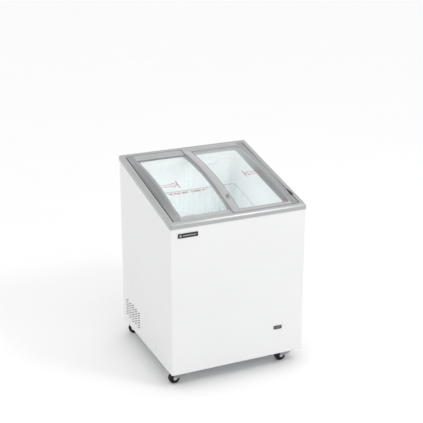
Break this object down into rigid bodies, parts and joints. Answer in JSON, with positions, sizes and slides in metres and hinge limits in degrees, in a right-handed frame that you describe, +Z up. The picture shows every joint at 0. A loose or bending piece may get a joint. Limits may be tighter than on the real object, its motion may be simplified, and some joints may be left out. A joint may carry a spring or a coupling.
{
  "type": "chest freezer",
  "caption": "Small display chest freezer with a sloping top, two curved glass lids that slide past each other, a fluted storage well, side louvres and swivel castors.",
  "frame": {"origin": "floor level under the middle of the cabinet's outline", "axes": "+Z up, front faces -Y, +X to the right seen from the front"},
  "size_m": [0.645, 0.631, 0.8947],
  "materials": {
    "white_steel": "smooth white powder coat, satin",
    "galvanised": "hot-dip galvanised sheet",
    "liner_white": "smooth white liner",
    "grey_plastic": "extruded grey plastic, satin",
    "lid_glass": "clear tempered glass",
    "seal_grey": "dark flexible seal",
    "nylon": "nylon glide",
    "black_rubber": "black rubber",
    "zinc": "bright zinc plate",
    "wheel_black": "black tread",
    "lock_steel": "dark nickel",
    "foam": "rigid polyurethane foam",
    "copper": "copper tube",
    "machine_black": "black paint",
    "black_plastic": "moulded black plastic",
    "display_window": "smoked window",
    "white_plastic": "white moulded plastic"
  },
  "bodies": {
    "cabinet": {"back_panel": "galvanised", "badge_plate": "black_plastic", "base_tray": "galvanised", "castor_bolts": "zinc", "castor_plates": "zinc", "compartment_bulkhead": "galvanised", "compressor": "machine_black", "compressor_bolts": "zinc", "compressor_grommets": "black_rubber", "condenser": "machine_black", "cord_gland": "black_plastic", "display_lens": "display_window", "drain_flange": "white_plastic", "drain_tube": "white_plastic", "evaporator_coil": "copper", "fan_motor": "black_plastic", "fan_shroud": "black_plastic", "filter_drier": "copper", "foam_insulation": "foam", "inner_liner": "liner_white", "left_side_cap": "grey_plastic", "outer_wrapper": "white_steel", "panel_screws": "zinc", "rear_grille": "galvanised", "refrigerant_lines": "copper", "relay_box": "black_plastic", "right_side_cap": "grey_plastic", "rubber_buffer": "black_rubber", "thermometer_body": "black_plastic", "thermostat": "black_plastic", "throat_collar": "liner_white", "top_frame": "grey_plastic"},
    "left_lid": {"left_lid_frame": "grey_plastic", "left_lid_glass": "lid_glass", "left_lid_seal": "seal_grey", "left_lid_glides": "nylon"},
    "right_lid": {"right_lid_frame": "grey_plastic", "right_lid_glass": "lid_glass", "right_lid_seal": "seal_grey", "right_lid_glides": "nylon", "lock_escutcheon": "lock_steel"},
    "lock": {"lock_barrel": "lock_steel", "lock_cam": "lock_steel"},
    "fan": {"fan_blade": "black_plastic"},
    "drain_plug": {"drain_plug": "white_plastic"},
    "knob": {"thermostat_knob": "black_plastic"},
    "castor_front_left": {"castor_fork_front_left": "zinc", "castor_axle_front_left": "zinc"},
    "wheel_front_left": {"castor_wheel_front_left": "wheel_black"},
    "brake_front_left": {"castor_brake_front_left": "zinc"},
    "castor_front_right": {"castor_fork_front_right": "zinc", "castor_axle_front_right": "zinc"},
    "wheel_front_right": {"castor_wheel_front_right": "wheel_black"},
    "brake_front_right": {"castor_brake_front_right": "zinc"},
    "castor_rear_left": {"castor_fork_rear_left": "zinc", "castor_axle_rear_left": "zinc"},
    "wheel_rear_left": {"castor_wheel_rear_left": "wheel_black"},
    "castor_rear_right": {"castor_fork_rear_right": "zinc", "castor_axle_rear_right": "zinc"},
    "wheel_rear_right": {"castor_wheel_rear_right": "wheel_black"}
  },
  "joints": [
    {"name": "left_lid_slide", "type": "slide", "parent": "cabinet", "child": "left_lid", "axis": [1, 0, 0], "range_m": [0, 0.25]},
    {"name": "right_lid_slide", "type": "slide", "parent": "cabinet", "child": "right_lid", "axis": [-1, 0, 0], "range_m": [0, 0.24]},
    {"name": "lock_turn", "type": "hinge", "parent": "right_lid", "child": "lock", "pos_m": [-0.002, -0.19364, 0.80922], "axis": [0, -0.3285, 0.9445], "range_deg": [0, 90]},
    {"name": "thermostat_turn", "type": "hinge", "parent": "cabinet", "child": "knob", "pos_m": [0.15, 0.305, 0.212], "axis": [0, 1, 0], "range_deg": [0, 270]},
    {"name": "drain_plug_pull", "type": "slide", "parent": "cabinet", "child": "drain_plug", "axis": [-1, 0, 0], "range_m": [0, 0.02]},
    {"name": "fan_spin", "type": "hinge", "parent": "cabinet", "child": "fan", "pos_m": [-0.23, 0.18, 0.157], "axis": [1, 0, 0], "continuous": true},
    {"name": "castor_front_left_swivel", "type": "hinge", "parent": "cabinet", "child": "castor_front_left", "pos_m": [-0.263, -0.258, 0.056], "axis": [0, 0, 1], "continuous": true},
    {"name": "wheel_front_left_roll", "type": "hinge", "parent": "castor_front_left", "child": "wheel_front_left", "pos_m": [-0.29, -0.258, 0.025], "axis": [0, -1, 0], "continuous": true},
    {"name": "brake_front_left_press", "type": "hinge", "parent": "castor_front_left", "child": "brake_front_left", "pos_m": [-0.251, -0.258, 0.0495], "axis": [0, 1, 0], "range_deg": [0, 18]},
    {"name": "castor_front_right_swivel", "type": "hinge", "parent": "cabinet", "child": "castor_front_right", "pos_m": [0.263, -0.258, 0.056], "axis": [0, 0, 1], "continuous": true},
    {"name": "wheel_front_right_roll", "type": "hinge", "parent": "castor_front_right", "child": "wheel_front_right", "pos_m": [0.236, -0.258, 0.025], "axis": [0, -1, 0], "continuous": true},
    {"name": "brake_front_right_press", "type": "hinge", "parent": "castor_front_right", "child": "brake_front_right", "pos_m": [0.275, -0.258, 0.0495], "axis": [0, 1, 0], "range_deg": [0, 18]},
    {"name": "castor_rear_left_swivel", "type": "hinge", "parent": "cabinet", "child": "castor_rear_left", "pos_m": [-0.263, 0.258, 0.056], "axis": [0, 0, 1], "continuous": true},
    {"name": "wheel_rear_left_roll", "type": "hinge", "parent": "castor_rear_left", "child": "wheel_rear_left", "pos_m": [-0.28338, 0.27571, 0.025], "axis": [-0.6561, -0.7547, 0], "continuous": true},
    {"name": "castor_rear_right_swivel", "type": "hinge", "parent": "cabinet", "child": "castor_rear_right", "pos_m": [0.263, 0.258, 0.056], "axis": [0, 0, 1], "continuous": true},
    {"name": "wheel_rear_right_roll", "type": "hinge", "parent": "castor_rear_right", "child": "wheel_rear_right", "pos_m": [0.23797, 0.26811, 0.025], "axis": [-0.3746, -0.9272, 0], "continuous": true}
  ]
}
